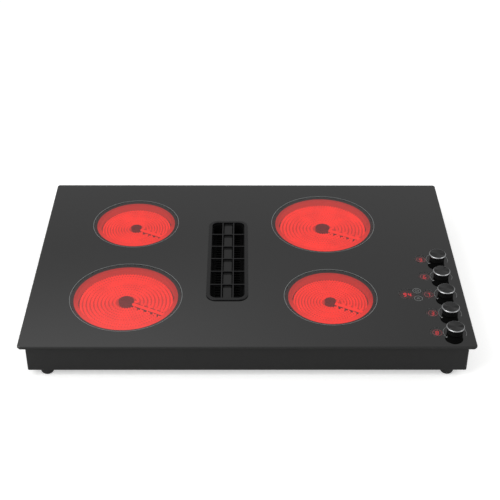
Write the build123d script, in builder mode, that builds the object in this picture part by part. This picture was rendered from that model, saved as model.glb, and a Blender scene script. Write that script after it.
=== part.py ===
from build123d import *
import math
import os

os.makedirs("parts", exist_ok=True)

# Millimetres, X to the right, Y to the back, Z up, origin on the surface below the feet

# Glass top
glass_width = 770.0
glass_depth = 520.0
glass_thickness = 4.0
glass_corner_radius = 5.0
glass_edge_bevel = 0.8

# Pan, frame, gasket and feet
rim_overhang = 10.8
pan_height = 56.0
pan_wall = 1.0
pan_corner_radius = 3.0
pan_bend_radius = 1.2
cooling_slot_length = 40.0
cooling_slot_width = 4.0
cooling_slot_rows = 8
cooling_slot_pitch = 16.0
frame_flange = 12.0
frame_leg = 14.0
frame_sheet = 1.2
frame_clearance = 0.2
gasket_thickness = 2.5
gasket_clearance = 0.6
gasket_edge_inset = 1.2
foot_radius = 11.5
foot_height = 14.0
foot_round = 6.0
foot_inset_x = 31.4
foot_inset_y = 14.3
foot_stem_radius = 3.0
foot_barb_radius = 4.2
foot_barb_height = 2.0
foot_hole_clearance = 0.1

# Screws and clamp holes
screw_radius = 2.0
screw_length = 8.0
screw_head_radius = 3.6
screw_head_height = 2.2
screw_hole_clearance = 0.1
side_screw_corner_distance = 60.0
rear_screw_corner_distance = 120.0
clamp_hole_radius = 2.1
clamp_hole_spacing = 200.0
clamp_hole_height = 20.0

# Heating elements
left_burner_inset = 170.5
right_burner_inset = 237.5
front_burner_inset = 140.8
rear_burner_inset = 143.0
large_zone_radius = 93.0
small_zone_radius = 76.0
large_hub_radius = 13.7
small_hub_radius = 10.2
large_wire_radius = 2.3
small_wire_radius = 1.8
ring_wall = 8.0
ring_count = 10
coil_wall_gap = 2.0
coil_floor_gap = 0.3
coil_hub_gap = 0.3
coil_bend_margin = 0.3
floor_depth = 14.0
ring_glass_gap = 0.3
insulation_floor = 10.0
dish_sheet = 0.8
dish_clearance = 0.2
dish_drop = 5.0
channel_angle = -28.0
channel_half_width = 5.2
lug_thickness = 3.0
lug_margin = 0.3
hub_height = 6.0
rod_radius = 2.6
rod_floor_gap = 0.5
rod_hole_clearance = 0.3
limiter_head_gap = 1.5
limiter_head_length = 16.0
limiter_head_width = 14.0
limiter_head_height = 13.0
spring_top_length = 60.0
spring_width = 30.0
spring_foot_length = 14.0
spring_sheet = 1.2

# Vent grate, filter and well
vent_x = -35.6
vent_rear_inset = 136.5
vent_width = 75.3
vent_length = 256.0
vent_corner_radius = 18.0
rim_width = 6.8
rim_height = 2.0
rim_round = 1.2
skirt_wall = 1.5
skirt_height = 3.0
skirt_clearance = 0.75
grate_columns = 3
grate_rows = 6
bar_width = 2.0
bar_height = 3.0
bar_drop = 0.5
strip_width = 15.0
strip_thickness = 2.0
strip_bar_gap = 0.7
filter_height = 22.0
filter_wall = 1.5
filter_lip = 3.0
filter_clearance = 0.5
mesh_thickness = 4.0
mesh_clearance = 0.2
mesh_slot_rows = 30
mesh_slot_width = 4.0
mesh_web = 3.0
well_wall = 1.5
well_ledge = 4.0
well_flange = 8.0

# Blower, damper and outlet
blower_x = -60.0
intake_height = 10.0
intake_width = 44.0
impeller_radius = 32.0
impeller_gap = 1.5
impeller_plate = 1.5
blade_count = 24
blade_thickness = 1.0
blade_depth = 7.0
blade_angle = 35.0
hub_radius = 7.0
hub_length = 9.0
tongue_gap = 4.5
tongue_angle = 25.0
spiral_step = 8.5
scroll_wall = 1.5
scroll_well_gap = 4.0
inlet_radius = 24.0
motor_radius = 24.0
motor_height = 15.0
motor_headroom = 4.0
motor_round = 2.0
motor_shaft_radius = 3.0
shaft_bearing_depth = 11.0
roof_hole_clearance = 1.0
running_clearance = 0.05
press_clearance = 0.02
damper_inset = 36.0
damper_sheet = 1.2
damper_gap = 0.6
damper_pin_radius = 1.5
damper_barrel_radius = 2.2
damper_roof_gap = 0.5
flange_thickness = 2.0
flange_margin_x = 16.0
flange_margin_z = 7.0
duct_bolt_margin = 7.0
duct_bolt_spacing_z = 28.0
duct_bolt_radius = 2.2
flange_screw_margin = 9.0

# Knobs and controls
knob_count = 5
knob_edge_distance = 33.0
knob_front_distance = 38.0
knob_pitch = 54.0
knob_gap = 0.6
knob_height = 14.0
knob_base_radius = 13.3
knob_neck_radius = 14.6
knob_cap_radius = 14.2
knob_wall = 1.8
knob_top_thickness = 3.0
knob_hub_radius = 5.5
knob_ring_radius = 15.5
knob_ring_height = 1.4
knob_ring_bevel = 1.1
pointer_width = 1.4
pointer_length = 8.0
pointer_depth = 0.4
dial_start_angle = 217.0
dial_step_angle = 27.0
knob_levels = (9, 6, 7, 3, 8)
shaft_radius = 3.0
shaft_hole_radius = 5.0
shaft_knob_depth = 9.0
seal_clearance = 0.05
seal_shaft_gap = 0.3
encoder_size = 14.0
encoder_height = 6.5
encoder_collar_radius = 4.4
encoder_collar_height = 2.0
encoder_floor = 1.0
display_height = 9.0
digit_offset = 29.7
digit_width = 11.0
digit_length = 15.0
timer_offset = 67.5
timer_width = 22.0
timer_length = 15.0
key_offset = 49.5
key_spacing = 22.5
key_pad_radius = 5.5
board_thickness = 1.6
board_margin = 12.0

# Mains side
power_board_width = 92.0
power_board_length = 150.0
power_board_wall_gap = 12.0
power_board_rear_gap = 60.0
power_board_lift = 10.0
relay_count = 5
relay_width = 20.0
relay_length = 22.0
relay_height = 16.0
standoff_radius = 3.5
standoff_inset = 6.0
terminal_width = 60.0
terminal_depth = 24.0
terminal_height = 16.0
terminal_count = 4
terminal_slot_depth = 9.0
terminal_partition = 2.0
terminal_rear_gap = 26.0
gland_edge_distance = 55.0
gland_height = 22.0
gland_bore_radius = 8.0
gland_neck_radius = 10.5
gland_flange_radius = 13.0
gland_flange_thickness = 4.0
gland_neck_length = 6.0
gland_hole_clearance = 0.1

# Levels and outlines that follow from the sizes above
pan_width = glass_width - 2 * rim_overhang
pan_depth = glass_depth - 2 * rim_overhang
pan_inner_width = pan_width - 2 * pan_wall
pan_inner_depth = pan_depth - 2 * pan_wall
pan_inner_radius = pan_corner_radius - pan_wall
pan_floor = foot_height + pan_wall
glass_bottom = foot_height + pan_height
glass_top_level = glass_bottom + glass_thickness
frame_width = pan_inner_width - 2 * frame_clearance
frame_depth = pan_inner_depth - 2 * frame_clearance
frame_radius = pan_inner_radius - frame_clearance

BASE = (Align.CENTER, Align.CENTER, Align.MIN)
TOP = (Align.CENTER, Align.CENTER, Align.MAX)


def finish(piece, name):
    """Label one finished piece and write its file."""
    piece.label = name
    export_step(piece, f"parts/{name}.step")


def wall_plane(x, y, z, outward):
    """Plane on an upright wall, its Z pointing out of the wall."""
    return Plane((x, y, z), x_dir=(0, 0, 1), z_dir=outward)


def upright_plane(x, y):
    """Plane through an upright axis, local X along X and local Y along Z."""
    return Plane((x, y, 0), x_dir=(1, 0, 0), z_dir=(0, -1, 0))


# Places of repeated features
foot_x = pan_width / 2 - foot_inset_x
foot_y = pan_depth / 2 - foot_inset_y
foot_places = [(x, y) for x in (-foot_x, foot_x) for y in (-foot_y, foot_y)]

knob_x = glass_width / 2 - knob_edge_distance
knob_front_y = -glass_depth / 2 + knob_front_distance
knob_places = [(knob_x, knob_front_y + knob_pitch * (knob_count - 1 - i)) for i in range(knob_count)]

side_screw_y = pan_depth / 2 - side_screw_corner_distance
rear_screw_x = pan_width / 2 - rear_screw_corner_distance
screw_level = glass_bottom - frame_leg / 2
case_screw_planes = [
    wall_plane(side * pan_width / 2, y, screw_level, (side, 0, 0))
    for side in (-1, 1)
    for y in (-side_screw_y, 0, side_screw_y)
]
case_screw_planes += [
    wall_plane(x, pan_depth / 2, screw_level, (0, 1, 0)) for x in (-rear_screw_x, rear_screw_x)
]
clamp_planes = [
    wall_plane(side * pan_width / 2, y, pan_floor + clamp_hole_height, (side, 0, 0))
    for side in (-1, 1)
    for y in (-clamp_hole_spacing / 2, clamp_hole_spacing / 2)
]

# Vent outlines, from the opening outwards
vent_y = glass_depth / 2 - vent_rear_inset - vent_length / 2
opening_width = vent_width - 2 * rim_width
opening_length = vent_length - 2 * rim_width
opening_radius = vent_corner_radius - rim_width
skirt_width = opening_width + 2 * skirt_wall
skirt_length = opening_length + 2 * skirt_wall
skirt_radius = opening_radius + skirt_wall
cutout_width = skirt_width + 2 * skirt_clearance
cutout_length = skirt_length + 2 * skirt_clearance
cutout_radius = skirt_radius + skirt_clearance
bar_bottom = glass_top_level + rim_height - bar_drop - bar_height
strip_top = bar_bottom - strip_bar_gap
ledge_level = strip_top - filter_height
well_shelf_width = opening_width - 2 * well_ledge
well_shelf_length = opening_length - 2 * well_ledge
well_shelf_radius = opening_radius - well_ledge
well_rear = vent_y + opening_length / 2 + well_wall
shelf_rear = vent_y + well_shelf_length / 2 + well_wall

# Blower levels, filling the height between the pan floor and the glass
blower_base_top = pan_floor + intake_height + scroll_wall
scroll_roof_top = glass_bottom - motor_headroom - motor_height
scroll_height = scroll_roof_top - scroll_wall - blower_base_top
scroll_radius = impeller_radius + tongue_gap
blower_y = well_rear + scroll_well_gap + scroll_wall + scroll_radius + 3 * spiral_step
rear_wall_inside = pan_inner_depth / 2
duct_right = blower_x + scroll_radius + 4 * spiral_step
duct_left = blower_x + scroll_radius * math.cos(math.radians(tongue_angle))
duct_width = duct_right - duct_left
duct_x = (duct_left + duct_right) / 2
duct_level = blower_base_top + scroll_height / 2
flange_screw_x = duct_width / 2 + flange_screw_margin
flange_screw_planes = [
    wall_plane(duct_x + side * flange_screw_x, pan_depth / 2 + flange_thickness, duct_level, (0, 1, 0))
    for side in (-1, 1)
]
duct_bolt_x = duct_width / 2 + duct_bolt_margin
duct_bolt_planes = [
    wall_plane(duct_x + i * duct_bolt_x, pan_depth / 2 + flange_thickness,
               duct_level + k * duct_bolt_spacing_z / 2, (0, 1, 0))
    for i in (-1, 1)
    for k in (-1, 1)
]

# Board outlines, the control board tied to the knobs and the power board to the walls
timer_place = (knob_x - timer_offset, knob_places[knob_count // 2][1])
key_places = [(knob_x - key_offset, timer_place[1] + side * key_spacing / 2) for side in (-1, 1)]
board_left = timer_place[0] - timer_width / 2 - board_margin / 2
board_right = knob_x + board_margin
board_front = knob_front_y - board_margin
board_rear = knob_places[0][1] + board_margin
board_centre = ((board_left + board_right) / 2, (board_front + board_rear) / 2)
board_width = board_right - board_left
board_length = board_rear - board_front
power_centre = (
    pan_inner_width / 2 - power_board_wall_gap - power_board_width / 2,
    rear_wall_inside - power_board_rear_gap - power_board_length / 2,
)

gland_x = pan_width / 2 - gland_edge_distance
gland_plane = wall_plane(gland_x, pan_depth / 2, pan_floor + gland_height, (0, 1, 0))

# Glass top, one sheet with the vent cut-out and the shaft holes
with BuildPart() as glass_top:
    with BuildSketch(Plane.XY.offset(glass_bottom)):
        RectangleRounded(glass_width, glass_depth, glass_corner_radius)
        with Locations((vent_x, vent_y)):
            RectangleRounded(cutout_width, cutout_length, cutout_radius, mode=Mode.SUBTRACT)
        with Locations(*knob_places):
            Circle(shaft_hole_radius, mode=Mode.SUBTRACT)
    extrude(amount=glass_thickness)
    chamfer(glass_top.faces().sort_by(Axis.Z)[-1].outer_wire().edges(), glass_edge_bevel)
finish(glass_top.part, "glass_top")

# Steel angle frame bonded under the glass, its leg screwed to the pan
with BuildPart() as glass_frame:
    with BuildSketch(Plane.XY.offset(glass_bottom - frame_leg)):
        RectangleRounded(frame_width, frame_depth, frame_radius)
        RectangleRounded(frame_width - 2 * frame_sheet, frame_depth - 2 * frame_sheet,
                         frame_radius - frame_sheet, mode=Mode.SUBTRACT)
    extrude(amount=frame_leg)
    with BuildSketch(Plane.XY.offset(glass_bottom - frame_sheet)):
        RectangleRounded(frame_width, frame_depth, frame_radius)
        Rectangle(frame_width - 2 * frame_flange, frame_depth - 2 * frame_flange, mode=Mode.SUBTRACT)
    extrude(amount=frame_sheet)
    with Locations(*case_screw_planes):
        Hole(screw_radius + screw_hole_clearance, depth=screw_length)
finish(glass_frame.part, "glass_frame")

# Foam gasket under the glass overhang, which rests on the worktop clear of the flange and its screws
gasket_wall_gap = flange_thickness + screw_head_height + gasket_clearance
with BuildPart() as rim_gasket:
    with BuildSketch(Plane.XY.offset(glass_bottom - gasket_thickness)):
        RectangleRounded(glass_width - 2 * gasket_edge_inset, glass_depth - 2 * gasket_edge_inset,
                         glass_corner_radius)
        RectangleRounded(pan_width + 2 * gasket_wall_gap, pan_depth + 2 * gasket_wall_gap,
                         pan_corner_radius + gasket_wall_gap, mode=Mode.SUBTRACT)
    extrude(amount=gasket_thickness)
finish(rim_gasket.part, "rim_gasket")

# Folded steel pan with the outlet, the cable hole and the screw holes
with BuildPart() as base_pan:
    with BuildSketch(Plane.XY.offset(foot_height)):
        RectangleRounded(pan_width, pan_depth, pan_corner_radius)
    extrude(amount=pan_height)
    with BuildSketch(Plane.XY.offset(pan_floor)):
        RectangleRounded(pan_inner_width, pan_inner_depth, pan_inner_radius)
    extrude(amount=pan_height, mode=Mode.SUBTRACT)
    fillet(base_pan.faces().sort_by(Axis.Z)[0].outer_wire().edges(), pan_bend_radius)
    with Locations(*case_screw_planes):
        Hole(screw_radius + screw_hole_clearance, depth=screw_length)
    with Locations(*flange_screw_planes):
        Hole(screw_radius + screw_hole_clearance, depth=screw_length)
    with Locations(*duct_bolt_planes):
        Hole(duct_bolt_radius, depth=flange_thickness + 2 * pan_wall)
    with Locations(*clamp_planes):
        Hole(clamp_hole_radius, depth=2 * pan_wall)
    with Locations(gland_plane):
        Hole(gland_neck_radius + gland_hole_clearance, depth=2 * pan_wall)
    with Locations(*[(x, y, pan_floor) for x, y in foot_places]):
        Hole(foot_stem_radius + foot_hole_clearance, depth=2 * pan_wall)
    with BuildSketch(Plane.XZ.offset(-pan_depth / 2)):
        with Locations((duct_x, duct_level)):
            Rectangle(duct_width, scroll_height)
    extrude(amount=2 * pan_wall, both=True, mode=Mode.SUBTRACT)
    with BuildSketch(Plane.XY.offset(foot_height)):
        for place in (board_centre, power_centre):
            with Locations(place):
                with GridLocations(0, cooling_slot_pitch, 1, cooling_slot_rows):
                    SlotOverall(cooling_slot_length, cooling_slot_width)
    extrude(amount=pan_wall, mode=Mode.SUBTRACT)
finish(base_pan.part, "base_pan")

# Rubber feet with a stem through the pan floor and a barb above it
with BuildPart() as rubber_feet:
    with Locations(*foot_places):
        Cylinder(foot_radius, foot_height, align=BASE)
    fillet(rubber_feet.edges().group_by(Axis.Z)[0], foot_round)
    with Locations(*[(x, y, foot_height) for x, y in foot_places]):
        Cylinder(foot_stem_radius, pan_wall, align=BASE)
    with Locations(*[(x, y, pan_floor) for x, y in foot_places]):
        Cylinder(foot_barb_radius, foot_barb_height, align=BASE)
finish(rubber_feet.part, "rubber_feet")

# Pan head screws of the case and of the outlet flange
with BuildPart() as case_screws:
    with Locations(*case_screw_planes, *flange_screw_planes):
        Cylinder(screw_head_radius, screw_head_height, align=BASE)
        Cylinder(screw_radius, screw_length, align=TOP)
    fillet(case_screws.faces().filter_by(GeomType.PLANE).group_by(SortBy.AREA)[-1].edges()
           .filter_by(GeomType.CIRCLE).group_by(SortBy.RADIUS)[-1], screw_head_height / 3)
finish(case_screws.part, "case_screws")

# Heating elements: each has a dish, its insulation, a coil, a limiter and a spring bracket
floor_level = glass_bottom - floor_depth
insulation_bottom = floor_level - insulation_floor
dish_bottom = insulation_bottom - dish_sheet - dish_clearance
rod_level = floor_level + rod_floor_gap + rod_radius

left_burner_x = left_burner_inset - glass_width / 2
right_burner_x = glass_width / 2 - right_burner_inset
front_burner_y = front_burner_inset - glass_depth / 2
rear_burner_y = glass_depth / 2 - rear_burner_inset
large_element = (large_zone_radius, large_hub_radius, large_wire_radius)
small_element = (small_zone_radius, small_hub_radius, small_wire_radius)
burners = {
    "front_left": (left_burner_x, front_burner_y, large_element),
    "front_right": (right_burner_x, front_burner_y, small_element),
    "rear_left": (left_burner_x, rear_burner_y, small_element),
    "rear_right": (right_burner_x, rear_burner_y, large_element),
}


def polar(radius, degrees, sideways=0.0):
    """Point of the element's own plane, its angle counted from the limiter channel."""
    angle = math.radians(degrees)
    x = radius * math.cos(angle) - sideways * math.sin(angle)
    y = radius * math.sin(angle) + sideways * math.cos(angle)
    return x, y


def clear_angle(radius, reach, clear):
    """Angle at which something that reaches back towards the channel just clears it."""
    return math.degrees(math.atan2(reach, radius) + math.asin(clear / math.hypot(radius, reach)))


def coil_sizes(zone, hub, wire):
    """Bend radius of the inner end, its tangent point, and the first and last ring's radius."""
    bend = wire + coil_bend_margin
    inner_straight = hub + coil_hub_gap + 2 * wire
    first = bend + math.hypot(inner_straight, bend)
    last = zone - ring_wall - coil_wall_gap - wire
    return bend, inner_straight, first, last


def outer_end_angle(last, wire):
    """Angle at which the outer ring runs out straight, its lug just clear of the channel."""
    return clear_angle(last - wire - lug_margin, 2 * wire + lug_thickness, channel_half_width)


def least_gap(path, wire):
    """Least gap between turns of one tube, measured on points along its path."""
    spacing = wire
    steps = int(path.length / spacing)
    points = [path @ (i / steps) for i in range(steps + 1)]
    apart = 4 * math.ceil(2 * wire / spacing)
    least = min(
        math.dist(points[i], points[k])
        for i in range(len(points))
        for k in range(i + apart, len(points))
    )
    return least - 2 * wire


for name, (x, y, (zone, hub, wire)) in burners.items():
    channel = (math.cos(math.radians(channel_angle)), math.sin(math.radians(channel_angle)), 0)
    floor_plane = Plane((x, y, floor_level), x_dir=channel)
    rod_plane = Plane((x, y, rod_level), x_dir=(0, 0, 1), z_dir=channel)
    floor_radius = zone - ring_wall
    dish_radius = zone + dish_clearance + dish_sheet
    bend, inner_straight, first, last = coil_sizes(zone, hub, wire)
    pitch = (last - first) / (ring_count - 1)
    coil_lift = coil_floor_gap + wire
    outer_angle = outer_end_angle(last, wire)

    # Steel dish with a hole for the limiter rod
    with BuildPart() as dish:
        with BuildSketch(Plane((x, y, dish_bottom))):
            Circle(dish_radius)
        extrude(amount=glass_bottom - dish_drop - dish_bottom)
        with BuildSketch(Plane((x, y, dish_bottom + dish_sheet))):
            Circle(dish_radius - dish_sheet)
        extrude(amount=glass_bottom - dish_bottom, mode=Mode.SUBTRACT)
        with BuildSketch(rod_plane):
            Circle(rod_radius + rod_hole_clearance)
        extrude(amount=dish_radius + dish_sheet, mode=Mode.SUBTRACT)
    finish(dish.part, f"dish_{name}")

    # Moulded insulation cup with a lug that the coil's outer end meets
    with BuildPart() as insulation:
        with BuildSketch(Plane((x, y, insulation_bottom))):
            Circle(zone)
        extrude(amount=glass_bottom - ring_glass_gap - insulation_bottom)
        with BuildSketch(floor_plane):
            Circle(floor_radius)
        extrude(amount=floor_depth, mode=Mode.SUBTRACT)
        with BuildSketch(rod_plane):
            Circle(rod_radius + rod_hole_clearance)
        extrude(amount=zone + ring_wall, mode=Mode.SUBTRACT)
        with BuildSketch(floor_plane):
            with Locations(polar(last, outer_angle, sideways=-2 * wire - lug_thickness / 2)):
                Rectangle(2 * (wire + lug_margin), lug_thickness, rotation=outer_angle)
        extrude(amount=coil_lift + wire + lug_margin)
    finish(insulation.part, f"insulation_{name}")

    # Heating coil: concentric arcs joined by half turns beside the channel, one unbroken tube
    with BuildPart() as coil:
        with BuildLine(floor_plane.offset(coil_lift)):
            runs = [Line(polar(last, outer_angle, sideways=-2 * wire), polar(last, outer_angle))]
            start = outer_angle
            for ring in range(ring_count - 1):
                radius = last - ring * pitch
                middle = radius - pitch / 2
                turning = 1 if ring % 2 == 0 else -1
                turn_angle = clear_angle(middle, pitch / 2, channel_half_width + wire)
                end = 360 - turn_angle if turning == 1 else turn_angle
                runs.append(CenterArc((0, 0), radius, start, (end - start) / 2))
                runs.append(CenterArc((0, 0), radius, (start + end) / 2, (end - start) / 2))
                runs.append(CenterArc(polar(middle, end), pitch / 2, end, turning * 180))
                start = end
            inner_angle = clear_angle(hub + coil_hub_gap, wire, channel_half_width)
            bend_angle = math.degrees(math.atan2(bend, inner_straight))
            end = inner_angle + bend_angle
            runs.append(CenterArc((0, 0), first, start, (end - start) / 2))
            runs.append(CenterArc((0, 0), first, (start + end) / 2, (end - start) / 2))
            runs.append(CenterArc(polar(first - bend, end), bend, end, -90 - bend_angle))
            runs.append(Line(polar(inner_straight, inner_angle), polar(hub + coil_hub_gap, inner_angle)))
        path = Wire(runs)
        with BuildSketch(Plane(path @ 0, z_dir=path % 0)):
            Circle(wire)
        sweep(path=path)
    finish(coil.part, f"coil_{name}")
    print(f"coil_{name}: pitch {pitch:.2f} mm, least gap to itself {least_gap(path, wire):.2f} mm,",
          f"volume over section times length {coil.part.volume / (math.pi * wire**2 * path.length):.4f}")

    # Temperature limiter: ceramic hub, rod in the channel, switch head outside the dish
    with BuildPart() as limiter:
        with BuildSketch(floor_plane):
            Circle(hub)
        extrude(amount=hub_height)
        with BuildSketch(rod_plane):
            Circle(rod_radius)
        extrude(amount=dish_radius + limiter_head_gap)
        with BuildSketch(rod_plane.offset(dish_radius + limiter_head_gap)):
            Rectangle(limiter_head_height, limiter_head_width)
        extrude(amount=limiter_head_length)
    finish(limiter.part, f"limiter_{name}")

# Spring brackets that press the elements up against the glass
with BuildPart() as element_springs:
    for x, y, size in burners.values():
        with BuildSketch(upright_plane(x, y + spring_width / 2)):
            with Locations((0, dish_bottom)):
                Rectangle(spring_top_length, spring_sheet, align=(Align.CENTER, Align.MAX))
            for side, inner_edge in ((-1, Align.MIN), (1, Align.MAX)):
                with Locations((side * spring_top_length / 2, pan_floor)):
                    Rectangle(spring_sheet, dish_bottom - pan_floor, align=(inner_edge, Align.MIN))
                    Rectangle(spring_foot_length, spring_sheet,
                              align=(Align.MAX if side < 0 else Align.MIN, Align.MIN))
                with Locations((side * (spring_top_length - spring_sheet) / 2, pan_floor)):
                    Rectangle(spring_sheet, spring_sheet, align=(Align.CENTER, Align.MIN))
        extrude(amount=spring_width)
finish(element_springs.part, "element_springs")

# Vent well: flange under the glass, walls round the filter, shelf for it, chamber below
with BuildPart() as vent_well:
    with BuildSketch(Plane((vent_x, vent_y, glass_bottom - well_wall))):
        RectangleRounded(opening_width + 2 * (well_wall + well_flange),
                         opening_length + 2 * (well_wall + well_flange),
                         opening_radius + well_wall + well_flange)
    extrude(amount=well_wall)
    with BuildSketch(Plane((vent_x, vent_y, ledge_level - well_wall))):
        RectangleRounded(opening_width + 2 * well_wall, opening_length + 2 * well_wall,
                         opening_radius + well_wall)
    extrude(amount=glass_bottom - ledge_level + well_wall)
    with BuildSketch(Plane((vent_x, vent_y, pan_floor))):
        RectangleRounded(well_shelf_width + 2 * well_wall, well_shelf_length + 2 * well_wall,
                         well_shelf_radius + well_wall)
    extrude(amount=ledge_level - pan_floor)
    with BuildSketch(Plane((vent_x, vent_y, ledge_level))):
        RectangleRounded(opening_width, opening_length, opening_radius)
    extrude(amount=glass_bottom - ledge_level, mode=Mode.SUBTRACT)
    with BuildSketch(Plane((vent_x, vent_y, pan_floor))):
        RectangleRounded(well_shelf_width, well_shelf_length, well_shelf_radius)
    extrude(amount=ledge_level - pan_floor, mode=Mode.SUBTRACT)
    with BuildSketch(Plane.XZ.offset(-shelf_rear)):
        with Locations((vent_x, pan_floor)):
            Rectangle(intake_width, intake_height, align=(Align.CENTER, Align.MIN))
    extrude(amount=2 * well_wall, both=True, mode=Mode.SUBTRACT)
finish(vent_well.part, "vent_well")

# Cast grate: a rim on the glass, a skirt in the cut-out and crossing bars
with BuildPart() as vent_grate:
    with BuildSketch(Plane((vent_x, vent_y, glass_top_level))):
        RectangleRounded(vent_width, vent_length, vent_corner_radius)
        RectangleRounded(opening_width, opening_length, opening_radius, mode=Mode.SUBTRACT)
    extrude(amount=rim_height)
    fillet(vent_grate.faces().sort_by(Axis.Z)[-1].outer_wire().edges(), rim_round)
    with BuildSketch(Plane((vent_x, vent_y, glass_top_level - skirt_height))):
        RectangleRounded(skirt_width, skirt_length, skirt_radius)
        RectangleRounded(opening_width, opening_length, opening_radius, mode=Mode.SUBTRACT)
    extrude(amount=skirt_height)
    with BuildSketch(Plane((vent_x, vent_y, bar_bottom))):
        with GridLocations(opening_width / grate_columns, 0, grate_columns - 1, 1):
            Rectangle(bar_width, opening_length + skirt_wall)
        with GridLocations(0, opening_length / grate_rows, 1, grate_rows - 1):
            Rectangle(opening_width + skirt_wall, bar_width)
    extrude(amount=bar_height)
finish(vent_grate.part, "vent_grate")

# Filter frame with its handle strip along the middle and a lip that carries the mesh
filter_width = opening_width - 2 * filter_clearance
filter_length = opening_length - 2 * filter_clearance
filter_radius = opening_radius - filter_clearance
with BuildPart() as filter_frame:
    with BuildSketch(Plane((vent_x, vent_y, ledge_level))):
        RectangleRounded(filter_width, filter_length, filter_radius)
        RectangleRounded(filter_width - 2 * filter_wall, filter_length - 2 * filter_wall,
                         filter_radius - filter_wall, mode=Mode.SUBTRACT)
    extrude(amount=filter_height)
    with BuildSketch(Plane((vent_x, vent_y, ledge_level))):
        RectangleRounded(filter_width, filter_length, filter_radius)
        RectangleRounded(filter_width - 2 * (filter_wall + filter_lip),
                         filter_length - 2 * (filter_wall + filter_lip),
                         filter_radius - filter_wall - filter_lip, mode=Mode.SUBTRACT)
    extrude(amount=filter_wall)
    with BuildSketch(Plane((vent_x, vent_y, strip_top - strip_thickness))):
        Rectangle(strip_width, filter_length - filter_wall)
    extrude(amount=strip_thickness)
finish(filter_frame.part, "filter_frame")

# Slotted aluminium filter mesh lying on the lip of its frame
mesh_width = filter_width - 2 * (filter_wall + mesh_clearance)
mesh_length = filter_length - 2 * (filter_wall + mesh_clearance)
mesh_corner = filter_radius - filter_wall - mesh_clearance
mesh_slot_length = (mesh_width - 2 * filter_lip - 3 * mesh_web) / 2
mesh_slot_pitch = (mesh_length - 2 * (filter_lip + mesh_web)) / mesh_slot_rows
with BuildPart() as filter_mesh:
    with BuildSketch(Plane((vent_x, vent_y, ledge_level + filter_wall))):
        RectangleRounded(mesh_width, mesh_length, mesh_corner)
        with GridLocations(mesh_slot_length + mesh_web, mesh_slot_pitch, 2, mesh_slot_rows):
            SlotOverall(mesh_slot_length, mesh_slot_width, mode=Mode.SUBTRACT)
    extrude(amount=mesh_thickness)
finish(filter_mesh.part, "filter_mesh")


def scroll_face(extra):
    """Outline of the scroll and its straight outlet, grown by a wall thickness."""
    with BuildSketch() as face:
        with BuildLine():
            CenterArc((blower_x, blower_y), scroll_radius + extra, 0, 90)
            CenterArc((blower_x, blower_y - spiral_step), scroll_radius + spiral_step + extra, 90, 90)
            CenterArc((blower_x + spiral_step, blower_y - spiral_step),
                      scroll_radius + 2 * spiral_step + extra, 180, 90)
            CenterArc((blower_x + spiral_step, blower_y), scroll_radius + 3 * spiral_step + extra, 270, 90)
            Line((duct_right + extra, blower_y), (blower_x + scroll_radius + extra, blower_y))
        make_face()
        with Locations((duct_x, blower_y)):
            Rectangle(duct_width + 2 * extra, rear_wall_inside - blower_y, align=(Align.CENTER, Align.MIN))
    return face.sketch


# Blower base: floor of the scroll with the inlet, on a skirt round the intake space
base_left = blower_x - scroll_radius - spiral_step - scroll_wall
base_right = duct_right + scroll_wall
base_rear = blower_y + scroll_radius + scroll_wall
base_centre = ((base_left + base_right) / 2, (shelf_rear + base_rear) / 2)
base_width = base_right - base_left
base_depth = base_rear - shelf_rear
with BuildPart() as blower_base:
    with BuildSketch(Plane.XY.offset(pan_floor)):
        with Locations(base_centre):
            Rectangle(base_width, base_depth)
            Rectangle(base_width - 2 * scroll_wall, base_depth - 2 * scroll_wall, mode=Mode.SUBTRACT)
        with Locations((vent_x, shelf_rear)):
            Rectangle(intake_width, 2 * scroll_wall, mode=Mode.SUBTRACT)
    extrude(amount=intake_height)
    with BuildSketch(Plane.XY.offset(pan_floor + intake_height)):
        with Locations(base_centre):
            Rectangle(base_width, base_depth)
        add(scroll_face(scroll_wall))
        with Locations((blower_x, blower_y)):
            Circle(inlet_radius, mode=Mode.SUBTRACT)
    extrude(amount=scroll_wall)
finish(blower_base.part, "blower_base")

# Scroll housing with the outlet duct, the motor's hole and the damper's bearings
damper_y = rear_wall_inside - damper_inset
damper_level = blower_base_top + scroll_height - damper_roof_gap - damper_barrel_radius
with BuildPart() as scroll_housing:
    with BuildSketch(Plane.XY.offset(blower_base_top)):
        add(scroll_face(scroll_wall))
    extrude(amount=scroll_height + scroll_wall)
    with BuildSketch(Plane.XY.offset(blower_base_top)):
        add(scroll_face(0))
    extrude(amount=scroll_height, mode=Mode.SUBTRACT)
    with Locations((blower_x, blower_y, scroll_roof_top)):
        Hole(motor_shaft_radius + roof_hole_clearance, depth=2 * scroll_wall)
    with BuildSketch(Plane.YZ.offset(duct_x)):
        with Locations((damper_y, damper_level)):
            Circle(damper_pin_radius + running_clearance)
    extrude(amount=duct_width, both=True, mode=Mode.SUBTRACT)
finish(scroll_housing.part, "scroll_housing")

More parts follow.
